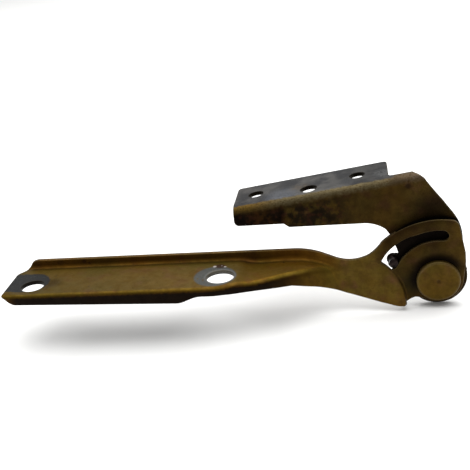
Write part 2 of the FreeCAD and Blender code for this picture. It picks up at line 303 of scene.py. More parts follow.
def slid_to_rim(sheet, u, v, spare):
    """Grid points that sit next to the rim are moved onto it. Of the two ends of a grid edge that
    crosses the rim the nearer one moves, down the slope of the spare distance."""
    nearer = np.zeros(u.shape, bool)
    for axis in (0, 1):
        one = [slice(None), slice(None)]
        two = [slice(None), slice(None)]
        one[axis], two[axis] = slice(None, -1), slice(1, None)
        one, two = tuple(one), tuple(two)
        crosses = (spare[one] < 0) != (spare[two] < 0)
        first = np.abs(spare[one]) <= np.abs(spare[two])
        nearer[one] |= crosses & first
        nearer[two] |= crosses & ~first
    at_u, at_v = u[nearer], v[nearer]
    for _ in range(SLIDES):
        here = sheet.spare(at_u, at_v)
        rise_u = (sheet.spare(at_u + PROBE, at_v) - sheet.spare(at_u - PROBE, at_v)) / (2 * PROBE)
        rise_v = (sheet.spare(at_u, at_v + PROBE) - sheet.spare(at_u, at_v - PROBE)) / (2 * PROBE)
        steep = np.maximum(rise_u ** 2 + rise_v ** 2, 0.15)
        at_u = at_u - np.clip(here * rise_u / steep, -LONGEST_SLIDE, LONGEST_SLIDE)
        at_v = at_v - np.clip(here * rise_v / steep, -LONGEST_SLIDE, LONGEST_SLIDE)
    u, v = u.copy(), v.copy()
    u[nearer], v[nearer] = at_u, at_v
    return u, v, nearer


def kept_faces(sheet, u, v, spare, on_rim):
    """Quads wholly inside the rim, and the triangle left of a quad with one corner outside."""
    rows, columns = u.shape
    number = np.arange(u.size).reshape(rows, columns)
    outside = (spare > 0) & ~on_rim
    corners = np.stack([number[:-1, :-1], number[:-1, 1:], number[1:, 1:], number[1:, :-1]], -1)
    corners = corners.reshape(-1, 4)
    lost = outside.ravel()[corners]
    touching = on_rim.ravel()[corners]
    quads = corners[lost.sum(1) == 0]
    quad_rim = touching[lost.sum(1) == 0]
    one_lost = lost.sum(1) == 1
    which = lost[one_lost].argmax(1)
    turn = (which[:, None] + np.array([1, 2, 3])) % 4
    tris = np.take_along_axis(corners[one_lost], turn, 1)
    tri_rim = np.take_along_axis(touching[one_lost], turn, 1)

    def truly_inside(faces, rim):
        """A face whose corners all lie on the rim may bridge a notch, so its middle is tested."""
        good = np.ones(len(faces), bool)
        doubtful = np.flatnonzero(rim.all(1))
        if doubtful.size:
            middle_u = u.ravel()[faces[doubtful]].mean(1)
            middle_v = v.ravel()[faces[doubtful]].mean(1)
            good[doubtful] = sheet.spare(middle_u, middle_v) < 0
        return faces[good]

    return truly_inside(quads, quad_rim), truly_inside(tris, tri_rim)


def rim_edges(quads, tris):
    """Directed edges that only one face uses, so that the metal lies on the same side of each."""
    sides = [quads[:, [i, (i + 1) % 4]] for i in range(4)]
    sides += [tris[:, [i, (i + 1) % 3]] for i in range(3)]
    edges = np.concatenate(sides)
    key = np.sort(edges, 1)
    _, first, count = np.unique(key, axis=0, return_index=True, return_counts=True)
    return edges[first[count == 1]]


print("one quad alone has", len(rim_edges(np.array([[0, 1, 2, 3]]), np.empty((0, 3), int))), "rim edges")

# %% [markdown]
# Every piece needs the same last steps: its mesh becomes an object, smooth shaded, it is attached to the
# body it rides on, and the solid it stands for is hidden.

# %% Make a piece and keep numbers on it
def new_piece(name, points, faces, body, stands_for):
    """A mesh object at the origin from points in metres, riding on a body in a node's place."""
    mesh = bpy.data.meshes.new(name)
    mesh.from_pydata(points.tolist(), [], faces)
    mesh.polygons.foreach_set("use_smooth", np.ones(len(mesh.polygons), bool))
    mesh.validate()
    mesh.update()
    piece = bpy.data.objects.new(name, mesh)
    bpy.context.scene.collection.objects.link(piece)
    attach(piece, body)
    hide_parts(stands_for)
    size = points.max(0) - points.min(0)
    print(f"{name}: {len(points)} points, {len(faces)} faces, {(1000 * size).round(1)} mm")
    return piece


def store(piece, name, values):
    """One number per point, kept on the mesh for its material to read."""
    layer = piece.data.attributes.new(name, "FLOAT", "POINT")
    layer.data.foreach_set("value", np.asarray(values, np.float32))


print("meshes before the first new piece:", len(bpy.data.meshes))

# %% [markdown]
# The front face is offset by the sheet's thickness for the back face, and the strip between
# them is a ladder of points down the rolled edge, one rung for each rim point.

# %% Press a sheet
def press(name, sheet, u_lines, v_lines, body, stands_for):
    """Builds a pressing: front face, back face one thickness behind it, and a rolled edge whose
    profile is a quarter circle, a straight land and a quarter circle."""
    u, v = np.meshgrid(u_lines, v_lines)
    spare = sheet.spare(u, v)
    u, v, on_rim = slid_to_rim(sheet, u, v, spare)
    quads, tris = kept_faces(sheet, u, v, spare, on_rim)
    used, packed = np.unique(np.concatenate([quads.ravel(), tris.ravel()]), return_inverse=True)
    quads = packed[:quads.size].reshape(-1, 4)[:, ::-1]
    tris = packed[quads.size:].reshape(-1, 3)[:, ::-1]
    front, local = sheet.point(u.ravel()[used], v.ravel()[used])
    normal = sheet.outwards(local)
    inset = -np.where(on_rim, 0.0, spare).ravel()[used]
    back = front - SHEET * normal
    count = len(front)

    edges = rim_edges(quads, tris)
    start, end = edges[:, 0], edges[:, 1]
    run = front[end] - front[start]
    side = np.cross(run / np.linalg.norm(run, axis=1, keepdims=True), (normal[start] + normal[end]) / 2)
    total = np.zeros((count, 3))
    np.add.at(total, start, side)
    np.add.at(total, end, side)
    square = np.maximum((total ** 2).sum(1, keepdims=True), 1.6)
    outward = 2 * total / square

    rim = np.unique(edges)
    slot_of = np.full(count, -1)
    slot_of[rim] = np.arange(len(rim))
    turn = np.linspace(0, math.pi / 2, ROLL_STEPS + 1)[1:]
    out = np.concatenate([np.sin(turn), np.sin(turn[::-1])]) * EDGE_ROLL
    down = np.concatenate([1 - np.cos(turn), 1 - np.cos(turn[::-1])]) * EDGE_ROLL
    down[ROLL_STEPS:] = SHEET - down[ROLL_STEPS:]
    rings = front[rim] + out[:, None, None] * outward[rim] - down[:, None, None] * normal[rim]

    def ladder(at):
        """Point numbers from the front rim, down the edge's rings, to the back rim."""
        rungs = 2 * count + slot_of[at] + len(rim) * np.arange(len(out))[:, None]
        return np.concatenate([at[None], rungs, (at + count)[None]])

    here, after = ladder(start), ladder(end)
    bands = np.stack([here[:-1], here[1:], after[1:], after[:-1]], -1).reshape(-1, 4)

    points = np.concatenate([front, back, rings.reshape(-1, 3)])
    faces = (quads.tolist() + tris.tolist() + (quads[:, ::-1] + count).tolist()
             + (tris[:, ::-1] + count).tolist() + bands.tolist())
    piece = new_piece(name, placed(points), faces, body, stands_for)
    on_edge = rings[..., 0].size
    inwards = inset + EDGE_ROLL
    store(piece, "from_edge", np.concatenate([inwards, inwards, np.zeros(on_edge)]))
    store(piece, "face_side", np.concatenate([np.ones(count), np.zeros(count), np.full(on_edge, 0.5)]))
    return piece


print("edge profile:", 2 * ROLL_STEPS, "rings,", EDGE_ROLL, "mm roll")

# %% [markdown]
# ## The arm
#
# The arm is a Z section: a flange that stands up at the back, a flat web with two bolt holes, and
# a flange that hangs down at the front. Towards the pivot the web narrows and sinks away, the
# back flange grows into the slotted sector, and the front flange sweeps back into a raised foot
# that leans forwards over the sector. One field describes all of it: the sector plane joined by an
# inside bend to the block under the web, whose own top and front meet in an outside bend.

# %% Arm: stations along its length
ARM_END = -240.8
FRONT_HOLE, FRONT_HOLE_R = (-226.1, -22.0), 6.75
REAR_HOLE, REAR_HOLE_R = (-118.5, -20.0), 8.0
SHANK_R, BUSH_R = 6.0, 7.25                # the rivet's shank, and the bush's outside

# Upper limit of the block under the web, seen from the front: the web's top, then the foot's rim.
BLOCK_TOP = [(-250.0, 17.4), (-200.0, 17.4), (-150.0, 17.4), (-128.0, 17.4), (-118.0, 17.4),
             (-112.0, 17.4), (-107.5, 17.1), (-104.5, 16.3), (-101.0, 15.7), (-92.0, 15.7),
             (-80.0, 16.0), (-71.0, 15.2),
             (-64.0, 13.3), (-57.0, 11.4), (-48.0, 11.6), (-41.0, 12.6), (-36.0, 12.6), (-30.5, 10.6),
             (-24.8, 6.0), (-21.0, 0.6), (-18.8, -5.0), (-17.7, -11.0), (-17.3, -17.0), (-17.0, -40.0)]
diagonal = np.array([((x - z) / ROOT2, (x + z) / ROOT2) for x, z in BLOCK_TOP])
block_line = spline(diagonal[:, 0], diagonal[:, 1])

# Front of the block: its distance ahead of the sector at the given height, and its lean.
BLOCK_FRONT = [(-250.0, 34.0, 17.4, 0.0), (-190.0, 34.0, 17.4, 0.0), (-150.0, 34.0, 17.4, 0.0),
               (-132.0, 34.0, 17.4, 0.0), (-125.0, 33.95, 17.4, 0.0), (-118.0, 33.2, 17.2, 0.01),
               (-106.0, 28.2, 15.5, 0.03), (-94.0, 23.0, 15.7, 0.07), (-82.0, 18.4, 16.0, 0.11),
               (-72.0, 13.4, 15.3, 0.15), (-64.5, 7.6, 13.2, 0.18), (-57.0, 2.2, 10.8, 0.2),
               (-48.0, 0.15, 11.0, 0.2), (-34.0, 0.0, 12.4, 0.2), (-14.0, 0.0, 12.4, 0.2),
               (20.0, 0.0, 12.4, 0.2)]
stations = np.array(BLOCK_FRONT)
block_front = spline(stations[:, 0], stations[:, 1] + stations[:, 3] * stations[:, 2])
block_lean = spline(stations[:, 0], stations[:, 3])
BEND_AT = [-250, -130, -100, -72, -55, -40, -15, 20]
front_bend = spline(BEND_AT, [2.3, 2.3, 2.8, 3.6, 3.4, 2.6, 2.3, 2.3])
back_bend = spline(BEND_AT, [2.0, 2.0, 2.2, 2.8, 2.2, 1.3, 1.2, 1.2])
print("block stations:", len(BLOCK_TOP), "along its top,", len(BLOCK_FRONT), "along its front")

# %% [markdown]
# The field measures how far a point is from the arm's metal. The block's top is a line over the
# diagonal, so that it may drop steeply at the foot and still have one height for each place.

# %% Arm: the field

def below_block_top(x, z):
    """Distance to the block's upper limit. The line is a graph over the diagonal x - z, so its
    height difference along the other diagonal, divided by its slope length, is a distance."""
    s, t = (x - z) / ROOT2, (x + z) / ROOT2
    return (t - block_line(s)) / np.sqrt(1 + slope_of(block_line, s) ** 2)


def sector_emboss(x, z):
    """The bands on both sides of the slot stand proud of the seat under the rivet head. The inner
    one falls off towards the slot, and the outer one is crowned across its width."""
    radius, turn = np.hypot(x, z), np.degrees(np.arctan2(z, x)) % 360
    seat = soft_step(radius, 12.6, 19.4)
    inner = 0.55 * soft_step(radius, 20.4, 23.9) * (1 - soft_step(radius, 26.0, 29.5))
    crown = 0.6 * np.clip((radius - 33.6) / 3.0, -1.2, 1.2) ** 2 * soft_step(radius, 29.0, 31.5)
    around = soft_step(turn, 14.0, 58.0) * (1 - soft_step(turn, 126.0, 168.0))
    beside_slot = soft_step(turn, 70.0, 86.0)
    return (1.5 * seat - (inner + crown) * beside_slot) * around


def bolt_pads(x, y):
    """The web is pressed down by about a third of a millimetre round its end hole."""
    pad = np.hypot(x - FRONT_HOLE[0] + 1.0, (y - FRONT_HOLE[1] - 0.5) * 1.02)
    return 0.35 * (1 - soft_step(pad, 9.3, 12.6))


def arm_field(x, forward, z):
    """Signed distance to the arm's metal: sector plane, joined to the block under the web."""
    sector = forward - sector_emboss(x, z)
    top = below_block_top(x, z) + bolt_pads(x, -forward)
    lean = block_lean(x)
    sweep = np.sqrt(1 + lean ** 2 + slope_of(block_front, x) ** 2)
    front = (forward - block_front(x) + lean * z) / sweep
    block = outside_bend(top, front, front_bend(x))
    return inside_bend(sector, block, back_bend(x))


above_pivot = below_block_top(np.array(REAR_HOLE[0]), np.array(0.0))
print("pivot height under the web's top at the rear hole", round(-float(above_pivot), 3))

# %% [markdown]
# The arm's rim is cut in two views, as the tool does it. In the front view lie the flange tops, the
# sector with its round eye, and the lower edge of the hanging flange. The free end is cut
# across the developed sheet. The slot is a banana round the pivot that widens to its lower end.

# %% Arm: outline, slot and holes
SECTOR_R = 36.3
EYE_R = 13.7
SLOT_INNER, SLOT_OUTER, SLOT_WIDE = 23.6, 30.4, 33.4
SLOT_START, SLOT_NARROW, SLOT_END = 84.3, 112.0, 156.5

arm_outline = outline((-262.0, 22.1), [
    (-80.0, 21.8), ((-71.5, 21.1), (-63.5, 18.8)), (-56.5, 15.7), ((-46.8, 13.7), (-37.4, 16.3)),
    ((-33.4, 19.7), polar(38.5, 141.6)), (polar(37.1, 124.0), polar(SECTOR_R, 100.0)),
    (polar(SECTOR_R, 89.0), polar(SECTOR_R, 78.0)), ((9.6, 34.5), (11.1, 31.9)), (14.4, 16.2),
    (14.7, 10.0), (EYE_R, 0.0), (polar(EYE_R, -60.0), polar(EYE_R, -118.0)),
    ((-9.4, -10.8), (-12.8, -10.4)), (-14.6, -11.1), (-16.8, -12.5), ((-17.9, -13.2), (-19.5, -13.4)),
    ((-22.5, -13.1), (-26.0, -12.1)), ((-40.0, -7.8), (-50.5, -4.3)), ((-57.5, -0.9), (-64.0, 2.9)),
    ((-71.5, 6.5), (-80.0, 9.4)), ((-97.0, 10.5), (-116.0, 12.7)), (-126.0, 12.9),
    ((-130.5, 12.6), (-133.5, 11.7)), (-136.5, 10.5), ((-139.0, 9.6), (-142.5, 9.3)),
    (-241.8, 11.9), (-262.0, 12.4)])

free_end = outline((100.0, -70.0), [
    (-230.6, -70.0), (-231.0, -22.0), ((-232.6, -21.7), (-233.8, -20.6)), (-236.0, -17.4),
    ((-237.0, -15.6), (-238.6, -13.0)), ((-240.4, -10.6), (ARM_END, -7.6)), (ARM_END, 16.0),
    ((-240.4, 17.0), (-239.6, 18.0)), (-237.2, 20.7), ((-235.4, 22.0), (-233.0, 22.9)), (-233.0, 70.0),
    (100.0, 70.0)])


def slot_outline():
    """Two arcs about the pivot joined by round ends; the outer arc drifts outwards."""
    narrow, wide = (SLOT_INNER + SLOT_OUTER) / 2, (SLOT_INNER + SLOT_WIDE) / 2
    narrow_cap = math.degrees((SLOT_OUTER - SLOT_INNER) / 2 / narrow)
    wide_cap = math.degrees((SLOT_WIDE - SLOT_INNER) / 2 / wide)
    widening = ((SLOT_OUTER + SLOT_WIDE) / 2 + 0.4, (SLOT_NARROW + SLOT_END) / 2)
    return outline(polar(SLOT_INNER, SLOT_START), [
        (polar(narrow, SLOT_START - narrow_cap), polar(SLOT_OUTER, SLOT_START)),
        (polar(SLOT_OUTER, (SLOT_START + SLOT_NARROW) / 2), polar(SLOT_OUTER, SLOT_NARROW)),
        (polar(*widening), polar(SLOT_WIDE, SLOT_END)),
        (polar(wide, SLOT_END + wide_cap), polar(SLOT_INNER, SLOT_END)),
        (polar(SLOT_INNER, (SLOT_START + SLOT_END) / 2), polar(SLOT_INNER, SLOT_START))])


slot_ring = slot_outline()
FOOT_COVER = 0.4                           # the foot hides the slot's end up to this far from its rim


def arm_cut(xyz, local):
    """Signed distance to the arm's rim: the outlines overlap, and each hole is taken away."""
    x, y, z = np.moveaxis(xyz, -1, 0)
    developed = local[..., 1] - local[..., 2]
    metal = np.maximum(depth_in(x, z, arm_outline) - BURR, depth_in(x, developed, free_end) + 0.05)
    open_slot = np.maximum(depth_in(x, z, slot_ring), FOOT_COVER - below_block_top(x, z))
    metal = np.maximum(metal, -open_slot - BURR)
    metal = np.maximum(metal, FRONT_HOLE_R - BURR - np.hypot(x - FRONT_HOLE[0], y - FRONT_HOLE[1]))
    metal = np.maximum(metal, REAR_HOLE_R - BURR - np.hypot(x - REAR_HOLE[0], y - REAR_HOLE[1]))
    return np.maximum(metal, SHANK_R - np.hypot(x, z))


# %% [markdown]
# The grid is finer where the metal turns most: at the sector and the foot. Two distances are
# kept on the finished arm, because its finish changes at the foot's rim and below the web.

# %% Arm: press it
arm_sheet = Pressing(arm_field, arm_cut, [(1, 0, 0), (0, -1, 0), (0, 0, 1)], (0, 0, 0))
arm = press("arm_pressing", arm_sheet,
            np.concatenate([np.arange(-241.6, -128.0, 0.85), np.arange(-128.0, -60.0, 0.62),
                            np.arange(-60.0, 17.0, 0.45)]),
            np.arange(-39.4, 27.4, 0.44), "arm", "hinge_arm")
places = np.empty(3 * len(arm.data.vertices))
arm.data.vertices.foreach_get("co", places)
places = places.reshape(-1, 3) / MM - PIVOT
past_top = below_block_top(places[:, 0], places[:, 2])
store(arm, "past_foot", np.where(places[:, 1] > -12.0, past_top, -9.0))
store(arm, "under_web", np.where(places[:, 1] < -3.5, -past_top, 0.0))

# %% [markdown]
# ## The bracket
#
# The bracket is an L: a flange that bolts to the lid, and a plate that reaches down behind the
# sector to the rivet. Its plate is dished back where the sector sweeps past, and its steep
# edge is rolled back a little for stiffness. The flange slopes, so the bend's own axes are
# turned by that slope and the field stays a plain outside bend.

# %% Bracket: bend, dish and outlines
PLATE_FRONT = 3.0
TILT = math.radians(7.96)
FLANGE_Z = 63.5
BRACKET_BEND = 4.6
BRACKET_EYE_R = 16.3
PIN_ORBIT, PIN_TURN, PIN_R = 26.5, 155.0, 2.5
FLANGE_HOLES = [(-29.0, 18.2, 4.5), (1.8, 11.3, 4.9), (29.0, 18.2, 4.5)]
HOLES_X = -70.6
HOLES_MIDDLE = HOLES_X / math.cos(TILT)

bracket_outline = outline((-110.9, 95.0), [
    (-110.9, 39.4), ((-110.2, 37.7), (-108.4, 37.0)), (-83.4, 37.1), (-80.4, 34.9), (-40.0, 35.0),
    ((-32.6, 33.7), (-27.4, 30.6)), (-24.6, 26.4), (-21.6, 18.4), polar(22.5, 151.0),
    polar(18.5, 158.0), polar(BRACKET_EYE_R, 168.0),
    (polar(BRACKET_EYE_R, -80.0), polar(BRACKET_EYE_R, 22.0)), ((15.1, 8.6), (14.9, 11.0)),
    (13.3, 21.0), ((11.8, 30.8), (7.8, 38.4)), (-6.2, 57.8), ((-8.6, 60.5), (-12.6, 61.9)),
    (-12.6, 95.0)])

flange_outline = outline((-130.0, -60.0), [
    (-130.0, 12.5), (-111.2, 12.5), (-111.2, 29.6), ((-110.4, 31.8), (-108.2, 32.5)),
    (-27.5, 32.5), ((-25.7, 31.8), (-25.0, 30.0)), (-25.0, 10.5), ((-24.4, 9.1), (-23.0, 8.5)),
    (-13.0, 8.5), ((-10.1, 7.5), (-9.4, 5.5)), (60.0, 5.5), (60.0, -60.0)])
print("bracket outline:", len(bracket_outline), "points; flange:", len(flange_outline))

# %% [markdown]
# Its field is one outside bend. The cut is made in two views, the plate from the front and the
# flange from above, and a small round lug carries the stop pin.

# %% Bracket: field, cut and pressing

def plate_dish(x, z):
    """How far the plate's face lies back: a dish above the sector's sweep and a rolled edge."""
    radius, turn = np.hypot(x, z), np.degrees(np.arctan2(z, x)) % 360
    dish = (1 - soft_step(radius, 37.0, 51.0)) * soft_step(radius, 19.0, 27.0)
    dish = dish * soft_step(turn, 52.0, 84.0) * (1 - soft_step(turn, 112.0, 146.0))
    edge = (x - 7.2) * 0.812 + (z - 38.0) * 0.584
    rolled = soft_step(edge, -5.5, 1.5) * soft_step(z, 34.0, 44.0) * (1 - soft_step(z, 56.0, 66.0))
    return 1.1 * dish + 0.9 * rolled


def bracket_field(along, forward, up):
    """Signed distance to the bracket: the plate's face and the flange's top, rounded together."""
    x = along * math.cos(TILT) - up * math.sin(TILT)
    z = FLANGE_Z + along * math.sin(TILT) + up * math.cos(TILT)
    return outside_bend(forward + PLATE_FRONT + plate_dish(x, z), up, BRACKET_BEND)


def bracket_cut(xyz, local):
    """Signed distance to the bracket's rim: front view, plan view, then every hole."""
    x, y, z = np.moveaxis(xyz, -1, 0)
    pin_x, pin_z = polar(PIN_ORBIT, PIN_TURN)
    lug_x, lug_z = polar(PIN_ORBIT - 1.6, PIN_TURN)
    lug = np.hypot(x - lug_x, z - lug_z) - 4.6
    metal = np.minimum(depth_in(x, z, bracket_outline) - BURR, lug)
    lowest = np.where(z < 4.0, np.hypot(x, z) - BRACKET_EYE_R + 0.02, -9.0)
    metal = np.maximum(np.maximum(metal, lowest), depth_in(x, y, flange_outline) + 0.03)
    for along, depth, radius in FLANGE_HOLES:
        hole = radius - BURR - np.hypot(local[..., 0] - HOLES_MIDDLE - along, y - depth)
        metal = np.maximum(metal, hole)
    metal = np.maximum(metal, BUSH_R - np.hypot(x, z))
    return np.maximum(metal, PIN_R - np.hypot(x - pin_x, z - pin_z))


bracket_axes = [(math.cos(TILT), 0, math.sin(TILT)), (0, -1, 0),
                (-math.sin(TILT), 0, math.cos(TILT))]
bracket_sheet = Pressing(bracket_field, bracket_cut, bracket_axes, (0, 0, FLANGE_Z))
bracket = press("bracket_pressing", bracket_sheet, np.arange(-114.0, 10.5, 0.5),
                np.arange(-34.0, 80.0, 0.46), "bracket", "hinge_bracket")

# %% [markdown]
# ## Turned pieces
#
# The rivet, its tail washer, the bush and the stop pin are all round. Each is a half profile
# carried once round its axis. Where the profile starts or ends on the axis one point closes the
# pole, and a ring profile closes on itself.

# %% A profile carried round an axis
TURNS = 96


def turned(name, profile, centre, body, stands_for, ring=False):
    """Points (radius cos a, y, radius sin a) for each profile point and each angle a."""
    profile = np.asarray(profile, float)
    angle = np.linspace(0, 2 * math.pi, TURNS, endpoint=False)
    rows = profile if ring else profile[1:-1]
    points = np.stack([centre[0] + rows[:, :1] * np.cos(angle), np.repeat(rows[:, 1:], TURNS, 1),
                       centre[1] + rows[:, :1] * np.sin(angle)], -1).reshape(-1, 3)
    here = np.arange(len(rows))[:, None] * TURNS + np.arange(TURNS)
    after = np.roll(here, -1, 1)
    if ring:
        below, below_after = np.roll(here, -1, 0), np.roll(after, -1, 0)
    else:
        here_all, after_all = here, after
        here, after = here_all[:-1], after_all[:-1]
        below, below_after = here_all[1:], after_all[1:]
    faces = np.stack([here, after, below_after, below], -1).reshape(-1, 4).tolist()
    if not ring:
        poles = [[centre[0], profile[0, 1], centre[1]], [centre[0], profile[-1, 1], centre[1]]]
        points = np.concatenate([points, poles])
        first, last = len(points) - 2, len(points) - 1
        faces += np.stack([after_all[0], here_all[0], np.full(TURNS, first)], -1).tolist()
        faces += np.stack([here_all[-1], after_all[-1], np.full(TURNS, last)], -1).tolist()
    return new_piece(name, placed(points), faces, body, stands_for)


print("a turned piece has", TURNS, "points round its axis")

# %% [markdown]
# The rivet is headed in a press, so its head has a soft shoulder, a face that is nearly flat and
# a small centre mark. Its tail is staked over the washer as a shallow dome.

# %% Rivet, washer, bush and stop pin
BACK = PLATE_FRONT + SHEET
WASHER_FACE = BACK + 0.05
WASHER_BACK = WASHER_FACE + 1.5

rivet_profile = outline((0.0, -2.62), [
    ((0.62, -2.68), (1.15, -2.95)), ((1.6, -3.08), (2.4, -3.09)), (6.0, -3.08), (9.2, -3.02),
    (10.9, -2.92), ((11.72, -2.62), (12.0, -1.85)), (12.0, -0.25), ((11.93, -0.07), (11.75, 0.0)),
    (SHANK_R, 0.0), (SHANK_R, WASHER_BACK), (8.75, WASHER_BACK),
    ((9.05, WASHER_BACK + 0.4), (8.7, WASHER_BACK + 0.95)),
    ((6.2, WASHER_BACK + 2.2), (2.5, WASHER_BACK + 2.55)), (0.0, WASHER_BACK + 2.6)])
rivet = turned("rivet", rivet_profile, (0, 0), "arm", "pivot_rivet")

washer_profile = outline((6.0, WASHER_FACE + 0.1), [
    ((6.03, WASHER_FACE + 0.03), (6.15, WASHER_FACE)), (10.7, WASHER_FACE),
    ((10.92, WASHER_FACE + 0.1), (11.0, WASHER_FACE + 0.3)), (11.0, WASHER_BACK - 0.3),
    ((10.92, WASHER_BACK - 0.1), (10.7, WASHER_BACK)), (6.15, WASHER_BACK),
    ((6.03, WASHER_BACK - 0.03), (6.0, WASHER_BACK - 0.1))])
washer = turned("washer", washer_profile, (0, 0), "arm", "tail_washer", ring=True)

bush_profile = outline((6.05, SHEET + 0.15), [
    ((6.07, SHEET + 0.08), (6.15, SHEET + 0.05)), (10.3, SHEET + 0.05),
    ((10.45, SHEET + 0.1), (10.5, SHEET + 0.25)), ((10.45, SHEET + 0.43), (10.3, PLATE_FRONT)),
    (BUSH_R, PLATE_FRONT), (BUSH_R, BACK - 0.1), ((7.2, BACK - 0.02), (7.1, BACK)), (6.15, BACK),
    ((6.07, BACK - 0.03), (6.05, BACK - 0.1))])
bush = turned("bush", bush_profile, (0, 0), "bracket", "pivot_bush", ring=True)

pin_profile = outline((0.0, -1.1), [
    ((1.3, -1.0), (2.1, -0.65)), ((2.42, -0.4), (PIN_R, 0.0)), (PIN_R, BACK), (3.5, BACK),
    ((3.62, BACK + 0.3), (3.3, BACK + 0.7)), ((1.9, BACK + 1.12), (0.0, BACK + 1.2))])
pin = turned("stop_pin_turned", pin_profile, polar(PIN_ORBIT, PIN_TURN), "bracket",
             "stop_pin")

# %% [markdown]
# ## Shader maths in Python
#
# A finish is a small calculation over the surface. `Wire` wraps a socket, so that `1 - mask`
# adds the Math node for it, and `Finish.node` adds any other node. Settings are set before
# values, because some of them change which sockets a node has.

# %% Wire and Finish
class Wire:
    """An output socket that takes part in sums."""

    def __init__(self, finish, socket):
        self.finish, self.socket = finish, socket

    def math(self, operation, first, second):
        return self.finish.node("ShaderNodeMath", {"operation": operation}, {0: first, 1: second})

    def __add__(self, other):
        return self.math("ADD", self, other)

    __radd__ = __add__

    def __mul__(self, other):
        return self.math("MULTIPLY", self, other)

    __rmul__ = __mul__

    def __sub__(self, other):
        return self.math("SUBTRACT", self, other)

    def __rsub__(self, other):
        return self.math("SUBTRACT", other, self)

    def __pow__(self, other):
        return self.math("POWER", self, other)


print("materials so far:", len(bpy.data.materials))

# %% [markdown]
# Plating has little gloss of its own, so the shader's specular level is low and the metal does
# most of the shining. Every pattern below is worked out in millimetres about the pivot.

# %% A finish and its nodes
PLATING_SPECULAR = 0.08


class Finish:
    """A material whose patterns are worked out in pivot-frame millimetres."""

    def __init__(self, name):
        self.material = bpy.data.materials.new(name)
        self.material.use_nodes = True
        self.tree = self.material.node_tree
        self.shader = self.tree.nodes["Principled BSDF"]
        self.shader.inputs["Specular IOR Level"].default_value = PLATING_SPECULAR
        spot = self.node("ShaderNodeTexCoord", {}, {}, "Object")
        self.place = self.node("ShaderNodeMapping", {}, {"Vector": spot, "Location": tuple(-PIVOT),
                                                         "Scale": (1 / MM, 1 / MM, 1 / MM)})
        parts = [self.node("ShaderNodeSeparateXYZ", {}, {"Vector": self.place}, axis) for axis in "XYZ"]
        self.x, self.y, self.z = parts

    def node(self, kind, settings, inputs, output=0):
        """Adds a node: first its settings, then the value or link of each input."""
        made = self.tree.nodes.new(kind)
        for key, value in settings.items():
            if key == "stops":
                self.fill_ramp(made.color_ramp, value)
            else:
                setattr(made, key, value)
        for key, value in inputs.items():
            self.feed(made.inputs[key], value)
        return Wire(self, made.outputs[output])

    def fill_ramp(self, ramp, stops):
        while len(ramp.elements) < len(stops):
            ramp.elements.new(0.5)
        for element, (position, colour) in zip(ramp.elements, stops):
            element.position, element.color = position, (*colour, 1.0)

    def feed(self, socket, value):
        if isinstance(value, Wire):
            self.tree.links.new(value.socket, socket)
        elif socket.type == "RGBA":
            socket.default_value = (*value, 1.0)
        else:
            socket.default_value = value

    def noise(self, scale, detail=3.0, stretch=(1.0, 1.0, 1.0), shift=0.0, roughness=0.5):
        """Cloudy pattern, 0 to 1, with that many features per millimetre."""
        place = self.node("ShaderNodeMapping", {}, {"Vector": self.place, "Scale": stretch,
                                                    "Location": (shift, -shift, shift / 2)})
        return self.node("ShaderNodeTexNoise", {}, {"Vector": place, "Scale": scale, "Detail": detail,
                                                    "Roughness": roughness})

    def fade(self, value, low, high):
        """0 below low to 1 above high, with a soft S between; low may be the larger."""
        return self.node("ShaderNodeMapRange", {"interpolation_type": "SMOOTHSTEP"},
                         {"Value": value, "From Min": low, "From Max": high})

    def mix(self, mask, under, over):
        """Colour under where the mask is 0, and over where it is 1."""
        return self.node("ShaderNodeMix", {"data_type": "RGBA"}, {0: mask, 6: under, 7: over}, 2)

    def blend(self, mask, under, over):
        """The same for plain numbers."""
        return self.node("ShaderNodeMix", {"data_type": "FLOAT"}, {0: mask, 2: under, 3: over})

    def shade(self, mask, colour, factor):
        """Multiplies a colour by a tint, where the mask is 1."""
        return self.node("ShaderNodeMix", {"data_type": "RGBA", "blend_type": "MULTIPLY"},
                         {0: mask, 6: colour, 7: factor}, 2)

    def stored(self, name):
        return self.node("ShaderNodeAttribute", {"attribute_name": name}, {}, "Fac")

    def distance(self, place, point):
        """Length of the line from a place to a point."""
        return self.node("ShaderNodeVectorMath", {"operation": "DISTANCE"},
                         {0: place, 1: point}, "Value")

    def from_axis(self):
        """Distance from the pivot axis: the height along it is left out."""
        flat = self.node("ShaderNodeCombineXYZ", {}, {0: self.x, 2: self.z})
        return self.distance(flat, (0.0, 0.0, 0.0))

    def spot(self, x, y, z, radius, soft):
        """1 inside a ball about a point, fading out over its soft skin."""
        return self.fade(self.distance(self.place, (x, y, z)), radius, radius - soft)

    def column(self, x, y, inner, outer, soft):
        """1 between two radii about an upright axis, with soft limits."""
        flat = self.node("ShaderNodeCombineXYZ", {}, {0: self.x, 1: self.y})
        gap = self.distance(flat, (x, y, 0.0))
        ring = self.fade(gap, outer, outer - soft)
        return ring if inner <= 0 else ring * self.fade(gap, inner - soft, inner)

    def dress(self, colour, metallic, roughness, bumps):
        """Joins the results to the shader; bumps is a list of (height, depth in millimetres)."""
        self.feed(self.shader.inputs["Base Color"], colour)
        self.feed(self.shader.inputs["Metallic"], metallic)
        self.feed(self.shader.inputs["Roughness"], roughness)
        normal = None
        for height, depth in bumps:
            links = {"Height": height, "Strength": 1.0, "Distance": depth * MM}
            if normal is not None:
                links["Normal"] = normal
            normal = self.node("ShaderNodeBump", {}, links)
        self.feed(self.shader.inputs["Normal"], normal)
        print(self.material.name, len(self.tree.nodes), "nodes")
        return self.material


# %% [markdown]
# ## Yellow zinc
#
# Both pressings and the rivet are zinc plated and passivated yellow. The film is uneven: it drifts
# from olive to gold to rose over a few millimetres, it is thin on edges, and years of grease
# have browned it. Three noise fields of different size carry those three drifts.

